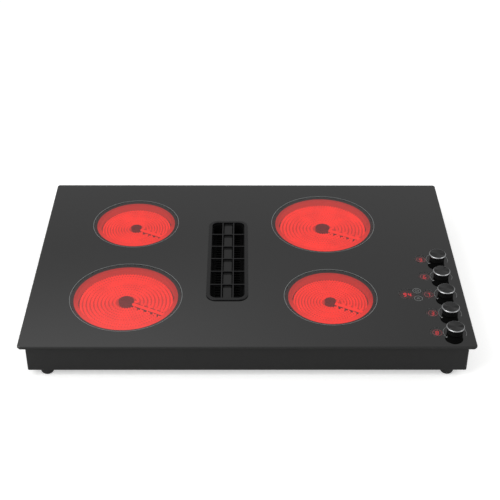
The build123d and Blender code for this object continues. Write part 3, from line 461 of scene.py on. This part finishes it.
def ribbon_line(zone, hub, wire):
    """Points along a ribbon's middle line, from the rim to the hub, one for each step of its wave."""
    bend = wire + bend_margin
    inner_straight = hub + hub_gap + 2 * wire
    first = bend + math.hypot(inner_straight, bend)
    last = zone - ring_wall - wall_gap - wire
    pitch = (last - first) / (ring_count - 1)
    start = clear_angle(last - wire - lug_margin, 2 * wire + lug_thickness, channel_half_width)
    points = [around(last, start, sideways) for sideways in (-2 * wire, -wire)]
    arcs = []
    for ring in range(ring_count - 1):
        radius = last - ring * pitch
        middle = radius - pitch / 2
        turning = 1 if ring % 2 == 0 else -1
        turn = clear_angle(middle, pitch / 2, channel_half_width + wire)
        end = math.tau - turn if turning == 1 else turn
        arcs.append((Vector((0, 0)), radius, start, end - start))
        arcs.append((around(middle, end), pitch / 2, end, turning * math.pi))
        start = end
    inner = clear_angle(hub + hub_gap, wire, channel_half_width)
    curl = math.atan2(bend, inner_straight)
    arcs.append((Vector((0, 0)), first, start, inner + curl - start))
    arcs.append((around(first - bend, inner + curl), bend, inner + curl, -math.pi / 2 - curl))
    for centre, radius, begin, sweep in arcs:
        count = max(fewest_steps, round(abs(sweep) * radius * wave_steps / wave_length))
        points += [centre + around(radius, begin + sweep * i / count) for i in range(count)]
    return [*points, around(inner_straight, inner), around(hub + hub_gap, inner)]


def corrugated(points, amplitude):
    """Push points sideways in turn, in a wave that dies out at both ends."""
    waved = [points[0]]
    for i in range(1, len(points) - 1):
        along = (points[i + 1] - points[i - 1]).normalized()
        fade = min(1.0, i / wave_steps, (len(points) - 1 - i) / wave_steps)
        push = fade * amplitude * math.sin(math.tau * i / wave_steps)
        waved.append(points[i] + push * Vector((-along.y, along.x)))
    return [*waved, points[-1]]


def upright_strip(line, low, high):
    """Strip of the ribbon's thickness standing on edge along a line."""
    sections = []
    for i, point in enumerate(line):
        along = (line[min(i + 1, len(line) - 1)] - line[max(i - 1, 0)]).normalized()
        side = Vector((-along.y, along.x)) * ribbon_thickness / 2
        left, right = point - side, point + side
        sections.append([(*left, low), (*right, low), (*right, high), (*left, high)])
    return stacked(sections)


red_hot = surface("red_hot_alloy", shades=("#40201a", "#5c2c20"), roughness=(0.5, 0.6),
                  grain_mm=0.8, relief_mm=0.01, cloud_mm=12.0, metallic=1.0)
tree = red_hot.node_tree
place = add_node(tree, "ShaderNodeTexCoord")["Object"]
patch = add_node(tree, "ShaderNodeTexNoise", {"Scale": 1 / (glow_patch_mm * mm)}, {"Vector": place})
heat_and_painted_light = add_node(tree, "ShaderNodeMapRange",
                {"From Min": noise_range[0], "From Max": noise_range[1],
                 "To Min": ribbon_glow[0], "To Max": ribbon_glow[1]}, {"Value": patch["Fac"]})
add_heat_glow_and_painted_light(red_hot, heat_and_painted_light["Result"])
turned = Matrix.Rotation(channel_angle, 2)
for name, zone in burner_zones.items():
    hub, wire = hubs_and_wires[zone]
    bottom = box_mm(f"coil_{name}")[0].z
    line = [burner_centres[name] + turned @ point
            for point in corrugated(ribbon_line(zone, hub, wire), wire - ribbon_thickness)]
    ribbon = add_piece(f"ribbon_{name}", upright_strip(line, bottom, bottom + 2 * wire),
                       red_hot, "cooktop", ribbon_sharp_angle)
    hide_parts(f"coil_{name}")

# Temperature limiters: a fired ceramic hub in the middle of each element holds one end of a quartz sleeved
# rod, which lies in the channel. The ribbons' light is painted on them as a glow: only a little on the hub,
# so it stays dark, and fully on the rod.
hub_painted_light = 0.16
rod_painted_light = 1.7
for name, zone in burner_zones.items():
    hub, wire = hubs_and_wires[zone]
    quartz = surface(f"quartz_and_ceramic_{name}", shades=("#1d1718", "#2a2021"), roughness=(0.4, 0.55),
                     grain_mm=1.0, relief_mm=0.05, cloud_mm=12.0)
    tree = quartz.node_tree
    place = add_node(tree, "ShaderNodeTexCoord")["Object"]
    flat = add_node(tree, "ShaderNodeVectorMath", {"operation": "MULTIPLY", 1: (1, 1, 0)}, {0: place})
    away = add_node(tree, "ShaderNodeVectorMath",
                    {"operation": "DISTANCE", 1: (*(burner_centres[name] * mm), 0)}, {0: flat["Vector"]})
    # Painted light from the ribbons: faint on the hub, strong on the rod.
    heat_and_painted_light = add_node(tree, "ShaderNodeMapRange",
                    {"From Min": hub * mm, "From Max": (hub + painted_light_step) * mm,
                     "To Min": hub_painted_light, "To Max": rod_painted_light}, {"Value": away["Value"]})
    add_heat_glow_and_painted_light(quartz, heat_and_painted_light["Result"])
    dress(quartz, f"limiter_{name}")

# Blower: moulded base, scroll housing and impeller, with the vent well that leads to them.
# The moulds were spark eroded, so the black polymer has a fine matt skin that gives hardly any reflection.
moulded = surface("spark_textured_polymer", shades=("#020202", "#060606"), roughness=(0.7, 0.85),
                  grain_mm=0.9, relief_mm=0.05, cloud_mm=30.0, specular=0.2)
dress(moulded, "vent_well", "blower_base", "scroll_housing", "impeller")

# Blower motor: a pressed steel can with a black electrocoat on the scroll's roof, and its ground steel shaft.
# The coat is thin and smoother than the pan's. The knobs' shafts are ground from the same bar.
knob_numbers = range(1, 6)
electrocoat = surface("electrocoated_steel", shades=("#1c1c1e", "#29292b"), roughness=(0.3, 0.42),
                      grain_mm=1.0, relief_mm=0.01, cloud_mm=20.0)
dress(electrocoat, "blower_motor")
ground_steel = surface("ground_steel_bar", shades=("#7c7e80", "#9c9ea0"), roughness=(0.2, 0.35),
                       grain_mm=0.4, relief_mm=0.005, cloud_mm=6.0, stretch=(1, 1, 6), metallic=1.0)
dress(ground_steel, "motor_shaft", *[f"knob_shaft_{i}" for i in knob_numbers])

# Backdraft damper: a thin flap with its pin, moulded in grey polymer, that hangs shut in the outlet duct.
# It is paler than the duct round it, with a dusty bloom.
damper_polymer = surface("moulded_grey_polymer", shades=("#303132", "#444546"), roughness=(0.5, 0.7),
                         grain_mm=0.9, relief_mm=0.02, cloud_mm=10.0)
dress(damper_polymer, "damper_flap")

# Circuit boards: glass epoxy laminate under green solder resist, on nylon standoffs.
# The copper tracks below the resist show as paler lines, a tenth of an inch apart.
track_pitch = 2.54
track_width = 0.8
track_run = 35.0
resist_greens = ("#0c4025", "#0a3a20")
laminate = surface("solder_resist_laminate", shades=resist_greens, roughness=(0.3, 0.42),
                   grain_mm=1.0, relief_mm=0.02, cloud_mm=25.0)
tree = laminate.node_tree
place = add_node(tree, "ShaderNodeTexCoord")["Object"]
tracks = add_node(tree, "ShaderNodeTexBrick",
                  {"Scale": 1.0, "Brick Width": track_run * mm, "Row Height": track_pitch * mm,
                   "Mortar Size": track_width / 2 * mm, "Mortar": linear("#1f6b3e"),
                   "Color1": linear(resist_greens[0]), "Color2": linear(resist_greens[1])}, {"Vector": place})
tree.links.new(tracks["Color"], tree.nodes["Principled BSDF"].inputs["Base Color"])
dress(laminate, "control_board", "power_board")

# Encoders, relays, standoffs and the cable gland: injection moulded in glass filled nylon.
# The fibres leave the black surface slightly streaky.
nylon = surface("glass_filled_nylon", shades=("#161618", "#262629"), roughness=(0.42, 0.58),
                grain_mm=0.8, relief_mm=0.03, cloud_mm=12.0, stretch=(1, 1, 0.3))
dress(nylon, "encoders", "relays", "standoffs", "cable_gland")

# Terminal block: moulded in cream polyamide, with a chamber for each wire of the supply cable.
# The moulded skin is half gloss and a little uneven in tone.
polyamide = surface("cream_polyamide", shades=("#c4bca3", "#d9d2bb"), roughness=(0.4, 0.5),
                    grain_mm=0.8, relief_mm=0.02, cloud_mm=15.0)
dress(polyamide, "terminal_block")

# Contact pads of the touch keys: short columns of carbon filled foam between the board and the glass.
# They are dark grey and dull, with open cells.
carbon_foam = surface("carbon_filled_foam", shades=("#262626", "#3c3c3c"), roughness=(0.8, 0.95),
                      grain_mm=0.6, relief_mm=0.15, cloud_mm=6.0)
dress(carbon_foam, "key_pads")

# Displays: dark resin blocks on the control board, close under the glass, with lit seven segment figures.
# The figures sit a little back on their blocks, to look centred to someone who stands in front.
glass_gap = 0.25
lit_height = 0.15
block_bevel = 0.6
figure_rise = 1.8
figure_width = 5.8
figure_height = 10.8
segment_width = 1.6
segment_gap = 0.25
figure_slant = math.tan(math.radians(6.0))
figure_light = "#ff7088"
level_glow = 0.85
timer_glow = 1.4
segments_of = {
    "3": "abgcd", "4": "fgbc", "6": "afgedc", "7": "abc", "8": "abcdefg", "9": "abcdfg",
}
knob_levels = "96738"
timer_reading = "94"
timer_figure_pitch = 8.4


def bevelled_block(low, high):
    """Block with its upright and top edges cut off by a small bevel."""
    rings = []
    for inset, z in ((0, low.z), (0, high.z - block_bevel), (block_bevel, high.z)):
        x0, y0, x1, y1 = low.x + inset, low.y + inset, high.x - inset, high.y - inset
        cut = block_bevel
        rings.append([(x0 + cut, y0, z), (x1 - cut, y0, z), (x1, y0 + cut, z), (x1, y1 - cut, z),
                      (x1 - cut, y1, z), (x0 + cut, y1, z), (x0, y1 - cut, z), (x0, y0 + cut, z)])
    return stacked(rings)


def plate(outline, low, high):
    """Upright prism on a flat outline."""
    return stacked([[(x, y, z) for x, y in outline] for z in (low, high)])


def segment(start, end):
    """Pointed bar of a figure between two of its corners."""
    along = (end - start).normalized()
    side = Vector((-along.y, along.x)) * segment_width / 2
    start, end = start + along * segment_gap, end - along * segment_gap
    point = along * segment_width / 2
    return [start, start + point - side, end - point - side, end, end - point + side, start + point + side]


def lit_figure(figure, x, y, level):
    """Lit segments of one figure round its middle."""
    right, top = (figure_width - segment_width) / 2, (figure_height - segment_width) / 2
    ends = {
        "a": ((-right, top), (right, top)), "b": ((right, 0), (right, top)), "c": ((right, -top), (right, 0)),
        "d": ((-right, -top), (right, -top)), "e": ((-right, -top), (-right, 0)),
        "f": ((-right, 0), (-right, top)), "g": ((-right, 0), (right, 0)),
    }
    outlines = [segment(*(Vector(end) for end in ends[letter])) for letter in segments_of[figure]]
    return [plate([(x + p.x + figure_slant * p.y, y + p.y) for p in outline], level, level + lit_height)
            for outline in outlines]


resin = surface("dark_display_resin", shades=("#060303", "#0a0404"), roughness=(0.4, 0.5),
                grain_mm=0.5, relief_mm=0.01, cloud_mm=8.0, specular=0.1)
lit_segments = {}
for purpose, glow in (("level", level_glow), ("timer", timer_glow)):
    lit_resin = surface(f"lit_red_resin_{purpose}", shades=("#5a0a0c", "#6a0d10"), roughness=(0.4, 0.5),
                        grain_mm=0.5, relief_mm=0.01, cloud_mm=3.0)
    shader = lit_resin.node_tree.nodes["Principled BSDF"]
    shader.inputs["Emission Color"].default_value = linear(figure_light)
    shader.inputs["Emission Strength"].default_value = glow
    lit_segments[purpose] = lit_resin
knob_boxes = [box_mm(f"knob_{i}") for i in knob_numbers]
knob_places = [((low + high) / 2).to_2d() for low, high in knob_boxes]
digit_low, digit_high = box_mm("digit_displays")
timer_low, timer_high = box_mm("timer_display")
digit_x = (digit_low.x + digit_high.x) / 2
digit_half_length = (timer_high.y - timer_low.y) / 2
display_top = digit_high.z - glass_gap
digit_blocks = [
    bevelled_block(Vector((digit_low.x, place.y - digit_half_length, digit_low.z)),
                   Vector((digit_high.x, place.y + digit_half_length, display_top)))
    for place in knob_places
]
digits = add_piece("digit_blocks", gather(digit_blocks), resin, "cooktop")
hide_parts("digit_displays")
timer = add_piece("timer_block", bevelled_block(timer_low, Vector((timer_high.x, timer_high.y, display_top))),
                  resin, "cooktop")
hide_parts("timer_display")
figures = []
for figure, place in zip(knob_levels, knob_places):
    figures += lit_figure(figure, digit_x, place.y + figure_rise, display_top)
add_piece("digit_figures", gather(figures), lit_segments["level"], "cooktop")
timer_middle = ((timer_low + timer_high) / 2).to_2d()
figures = []
for i, figure in enumerate(timer_reading):
    x = timer_middle.x + (i - 0.5) * timer_figure_pitch
    figures += lit_figure(figure, x, timer_middle.y + figure_rise, display_top)
add_piece("timer_figures", gather(figures), lit_segments["timer"], "cooktop")

# Glass top: one 4 mm sheet of glass ceramic, polished, bevelled and bonded to the frame. Its underside is
# painted black, save for windows over the heating zones and the displays, where the glass itself lets only
# red light through. Everywhere it mirrors the studio as a dark grey sheet.
glass_tint = "#cb4a50"
digit_window = 6.6
timer_window = 9.6
window_lap = 1.0  # the paint laps over each ring wall, and the shift makes that more at the back
window_shift = 1.5
slant_margin = 5.5  # the clear part widens towards the top face, where the eye looks in at a slant
glass_low, glass_high = box_mm("glass_top")
windows = [(burner_centres[name] - Vector((0, window_shift)), zone - window_lap)
           for name, zone in burner_zones.items()]
windows += [(Vector((digit_x, place.y + figure_rise)), digit_window) for place in knob_places]
windows.append((timer_middle + Vector((0, figure_rise)), timer_window))
glass_ceramic = surface("black_glass_ceramic", shades=("#030303", "#060606"), roughness=(0.02, 0.05),
                        grain_mm=1.0, relief_mm=0.0, cloud_mm=70.0)
tree = glass_ceramic.node_tree
shader = tree.nodes["Principled BSDF"]
paint = shader.inputs["Base Color"].links[0].from_socket
place = add_node(tree, "ShaderNodeTexCoord")["Object"]
flat = add_node(tree, "ShaderNodeVectorMath", {"operation": "MULTIPLY", 1: (1, 1, 0)}, {0: place})["Vector"]
height = add_node(tree, "ShaderNodeSeparateXYZ", links={"Vector": place})["Z"]
margin = add_node(tree, "ShaderNodeMapRange",
                  {"From Min": glass_low.z * mm, "From Max": glass_high.z * mm, "To Max": slant_margin * mm},
                  {"Value": height})["Result"]
clear = None
for centre, radius in windows:
    away = add_node(tree, "ShaderNodeVectorMath", {"operation": "DISTANCE", 1: (*(centre * mm), 0)},
                    {0: flat})
    past_edge = add_node(tree, "ShaderNodeMath", {"operation": "SUBTRACT"}, {0: away["Value"], 1: margin})
    inside = add_node(tree, "ShaderNodeMath", {"operation": "LESS_THAN", 1: radius * mm},
                      {0: past_edge["Value"]})["Value"]
    if clear is None:
        clear = inside
    else:
        clear = add_node(tree, "ShaderNodeMath", {"operation": "MAXIMUM"}, {0: clear, 1: inside})["Value"]
colour = add_node(tree, "ShaderNodeMix", {"data_type": "RGBA", 7: linear(glass_tint)}, {0: clear, 6: paint})
tree.links.new(colour[2], shader.inputs["Base Color"])
tree.links.new(clear, shader.inputs["Transmission Weight"])
dress(glass_ceramic, "glass_top")

# Prints on the glass: ceramic ink, screen printed and fired on. There is a thin line round each zone, a dial
# arc with a bright first mark round each knob, a reddish ring round each digit, and a ring and a sign on
# each touch key.
ink_thickness = 0.06
outline_gap = 6.2
outline_width = 0.75
dial_radius = 19.8
dial_width = 0.7
dial_start = math.radians(217.0)
dial_sweep = math.radians(243.0)
first_mark_length = 3.2
first_mark_width = 1.4
digit_ring_radius = 7.8
digit_ring_width = 0.6
key_ring_radius = 7.0
key_ring_width = 0.7
sign_width = 0.45
clock_radius = 3.4
clock_hands = ((0, 2.4), (1.8, 0))
lock_body = (4.4, 2.8)
lock_shackle_radius = 1.5
arc_step = math.radians(3.0)


def printed_arc(centre, radius, width, start=0.0, sweep=math.tau):
    """Thin printed band along an arc; a full turn closes on itself."""
    closed = sweep >= math.tau
    count = math.ceil(sweep / arc_step)
    stations = count if closed else count + 1
    corners = []
    for i in range(stations):
        angle = start + sweep * i / count
        for edge, z in ((-1, 0), (1, 0), (1, 1), (-1, 1)):
            point = centre + around(radius + edge * width / 2, angle)
            corners.append((*point, glass_high.z + z * ink_thickness))
    faces = []
    for i in range(count):
        near, far = 4 * i, 4 * ((i + 1) % stations)
        faces += [(near + k, far + k, far + (k + 1) % 4, near + (k + 1) % 4) for k in range(4)]
    if not closed:
        faces += [(0, 1, 2, 3), (4 * count + 3, 4 * count + 2, 4 * count + 1, 4 * count)]
    return corners, faces


def printed_line(start, end, width):
    """Thin printed line between two points."""
    along = (end - start).normalized()
    side = Vector((-along.y, along.x)) * width / 2
    outline = [start - side, end - side, end + side, start + side]
    return plate(outline, glass_high.z, glass_high.z + ink_thickness)


grey_ink, white_ink, red_ink = (
    surface(f"fired_{colour}_ink", shades, roughness=(0.45, 0.6), grain_mm=0.5, relief_mm=0.01, cloud_mm=20.0)
    for colour, shades in (
        ("grey", ("#7e8080", "#929494")), ("white", ("#acaeae", "#c0c2c2")), ("red", ("#965055", "#a6585d")),
    )
)
outlines = [printed_arc(burner_centres[name], zone + outline_gap, outline_width)
            for name, zone in burner_zones.items()]
add_piece("zone_outlines", gather(outlines), grey_ink, "cooktop")
dials = [printed_arc(place, dial_radius, dial_width, dial_start - dial_sweep, dial_sweep)
         for place in knob_places]
add_piece("dial_arcs", gather(dials), grey_ink, "cooktop")
marks = [printed_line(place + around(dial_radius - first_mark_length / 2, dial_start),
                      place + around(dial_radius + first_mark_length / 2, dial_start), first_mark_width)
         for place in knob_places]
add_piece("dial_first_marks", gather(marks), white_ink, "cooktop")
rings = [printed_arc(Vector((digit_x, place.y)), digit_ring_radius, digit_ring_width)
         for place in knob_places]
add_piece("digit_rings", gather(rings), red_ink, "cooktop")
pads_low, pads_high = box_mm("key_pads")
pad_radius = (pads_high.x - pads_low.x) / 2
clock_key = Vector((pads_low.x + pad_radius, pads_high.y - pad_radius))
lock_key = Vector((pads_low.x + pad_radius, pads_low.y + pad_radius))
signs = [printed_arc(key, key_ring_radius, key_ring_width) for key in (clock_key, lock_key)]
signs.append(printed_arc(clock_key, clock_radius, sign_width))
signs += [printed_line(clock_key, clock_key + Vector(hand), sign_width) for hand in clock_hands]
lock_middle = lock_key - Vector((0, lock_body[1] / 2 - lock_shackle_radius / 2))
lock_corners = [lock_middle + Vector((x * lock_body[0] / 2, y * lock_body[1] / 2))
                for x, y in ((-1, -1), (1, -1), (1, 1), (-1, 1))]
signs += [printed_line(lock_corners[i - 1], lock_corners[i], sign_width) for i in range(4)]
shackle_centre = lock_middle + Vector((0, lock_body[1] / 2))
signs.append(printed_arc(shackle_centre, lock_shackle_radius, sign_width, 0.0, math.pi))
add_piece("key_signs", gather(signs), grey_ink, "cooktop")

# Grease filter: a black polymer frame that carries an anodised aluminium mesh and lifts out by the strip
# along its middle. Only the strip is polished; the rest is matt and disappears in the well. The strip's top
# is painted paler, a painted sheen, and the rest of the frame and the mesh are painted near black, a painted
# shade of the well.
strip_half_width = 8.0
strip_depth = 2.5
strip_painted_sheen = "#242424"
strip_roughness = 0.1
matt_roughness = 0.85
frame_low, frame_high = box_mm("filter_frame")
strip_x = (frame_low.x + frame_high.x) / 2
# The frame's near black shades are a painted shade of the well.
frame_polymer = surface("black_filter_polymer", shades=("#010101", "#030303"),
                        roughness=(matt_roughness, matt_roughness),
                        grain_mm=0.9, relief_mm=0.03, cloud_mm=30.0, specular=0.12)
tree = frame_polymer.node_tree
shader = tree.nodes["Principled BSDF"]
matt_painted_shade = shader.inputs["Base Color"].links[0].from_socket
place = add_node(tree, "ShaderNodeTexCoord")["Object"]
axes = add_node(tree, "ShaderNodeSeparateXYZ", links={"Vector": place})
aside = add_node(tree, "ShaderNodeMath", {"operation": "SUBTRACT", 1: strip_x * mm}, {0: axes["X"]})
aside = add_node(tree, "ShaderNodeMath", {"operation": "ABSOLUTE"}, {0: aside["Value"]})
near = add_node(tree, "ShaderNodeMath", {"operation": "LESS_THAN", 1: strip_half_width * mm},
                {0: aside["Value"]})
raised = add_node(tree, "ShaderNodeMath", {"operation": "GREATER_THAN", 1: (frame_high.z - strip_depth) * mm},
                  {0: axes["Z"]})
polished = add_node(tree, "ShaderNodeMath", {"operation": "MULTIPLY"}, {0: near["Value"], 1: raised["Value"]})
gloss = add_node(tree, "ShaderNodeMapRange", {"To Min": matt_roughness, "To Max": strip_roughness},
                 {"Value": polished["Value"]})
# Painted sheen on the strip's top, painted shade on the rest of the frame.
painted_sheen_and_shade = add_node(tree, "ShaderNodeMix", {"data_type": "RGBA", 7: linear(strip_painted_sheen)},
                 {0: polished["Value"], 6: matt_painted_shade})
tree.links.new(painted_sheen_and_shade[2], shader.inputs["Base Color"])
tree.links.new(gloss["Result"], shader.inputs["Roughness"])
dress(frame_polymer, "filter_frame")
# The mesh is black anodised, and painted darker still, a painted shade of the well.
anodised_and_painted_shade = surface("black_anodised_aluminium", shades=("#020202", "#050505"), roughness=(0.6, 0.75),
                   grain_mm=1.0, relief_mm=0.02, cloud_mm=8.0, specular=0.05)
dress(anodised_and_painted_shade, "filter_mesh")

# Vent grate: a pressure casting in aluminium with a satin black coat, laid in the cut-out of the glass.
# The coat is smooth enough to mirror the studio softly, so rim and bars read as dark grey lines.
satin_coat = surface("satin_coated_casting", shades=("#0e0e0f", "#151516"), roughness=(0.22, 0.34),
                     grain_mm=1.2, relief_mm=0.03, cloud_mm=25.0, specular=0.18)
dress(satin_coat, "vent_grate")

# Knobs: turned aluminium, brushed and anodised black, pressed on their shafts. The brush lines run out from
# the middle of the top and down the side, so the top mirrors the studio in soft wedges and the side stays
# black. The lines are drawn as coarse as they need to show.
brush_line_mm = 0.5
brush_relief = 0.004
brush_stretch = 1.0
knob_low, knob_high = knob_boxes[0]
knob_radius = (knob_high.x - knob_low.x) / 2
half_pitch = (knob_places[0] - knob_places[1]).length / 2
anodised_knob = surface("brushed_black_aluminium", shades=("#060606", "#0a0a0a"), roughness=(0.42, 0.5),
                        grain_mm=1.0, relief_mm=0.0, cloud_mm=9.0)
tree = anodised_knob.node_tree
shader = tree.nodes["Principled BSDF"]
place = add_node(tree, "ShaderNodeTexCoord")["Object"]
from_first = add_node(tree, "ShaderNodeVectorMath",
                      {"operation": "SUBTRACT", 1: (*(knob_places[0] * mm), 0)}, {0: place})
axes = add_node(tree, "ShaderNodeSeparateXYZ", links={"Vector": from_first["Vector"]})
along_row = add_node(tree, "ShaderNodeMath", {"operation": "WRAP", 1: half_pitch * mm, 2: -half_pitch * mm},
                     {0: axes["Y"]})
angle = add_node(tree, "ShaderNodeMath", {"operation": "ARCTAN2"}, {0: along_row["Value"], 1: axes["X"]})
lines = add_node(tree, "ShaderNodeTexNoise", {"noise_dimensions": "1D", "Scale": knob_radius / brush_line_mm},
                 {"W": angle["Value"]})
relief = add_node(tree, "ShaderNodeBump", {"Distance": brush_relief * mm}, {"Height": lines["Fac"]})
round_axis = add_node(tree, "ShaderNodeTangent", {"direction_type": "RADIAL", "axis": "Z"})
tree.links.new(relief["Normal"], shader.inputs["Normal"])
tree.links.new(round_axis["Tangent"], shader.inputs["Tangent"])
shader.inputs["Anisotropic"].default_value = brush_stretch
dress(anodised_knob, *[f"knob_{i}" for i in knob_numbers])

# Knob rings: turned rings with a wide bevel, satin chromium plated, pressed on the top edge of each knob.
# The bevel is a soft bright line on the side towards the eye, and fades out behind.
chromium = surface("satin_chromium_plate", shades=("#8f9091", "#a6a7a8"), roughness=(0.3, 0.4),
                   grain_mm=0.5, relief_mm=0.002, cloud_mm=6.0, metallic=1.0)
dress(chromium, *[f"knob_ring_{i}" for i in knob_numbers])
